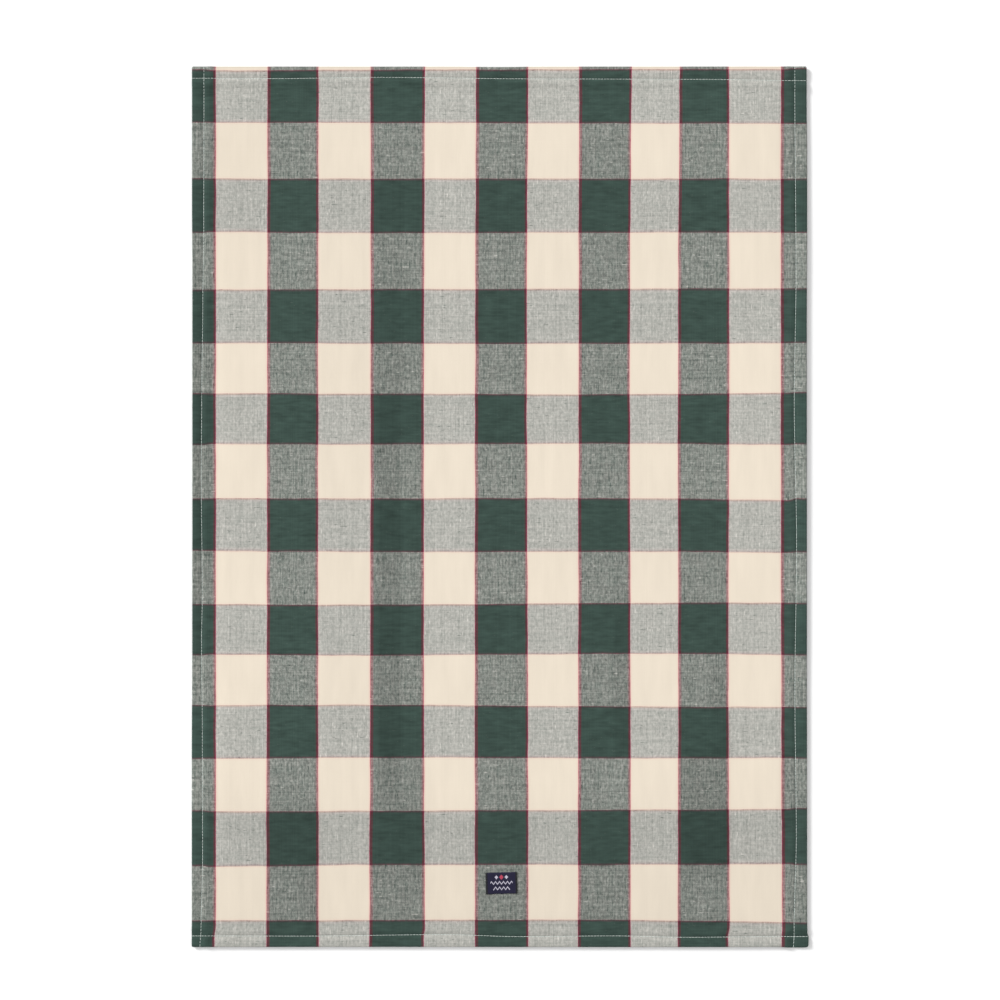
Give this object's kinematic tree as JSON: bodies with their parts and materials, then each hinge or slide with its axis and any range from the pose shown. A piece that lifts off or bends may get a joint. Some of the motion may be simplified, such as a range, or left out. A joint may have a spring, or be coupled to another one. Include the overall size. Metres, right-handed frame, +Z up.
{
  "type": "tea towel",
  "caption": "Rectangular checked tea towel laid out flat and face up, with a narrow double-turned hem on every side and a small sewn-on label near one end.",
  "frame": {"origin": "on the surface that the towel lies on, under the middle of its outline", "axes": "+X across the towel, +Y along it and away from the label, +Z up from the surface to the face"},
  "size_m": [0.4922, 0.705, 0.0028],
  "materials": {
    "checked_cloth": "yarn-dyed plain weave in dark green and cream with fine red lines, matte, softly pressed",
    "navy_label": "fine dark navy damask weave, slight sheen"
  },
  "bodies": {
    "root": {"towel_cloth": "checked_cloth", "woven_label": "navy_label"}
  },
  "joints": []
}
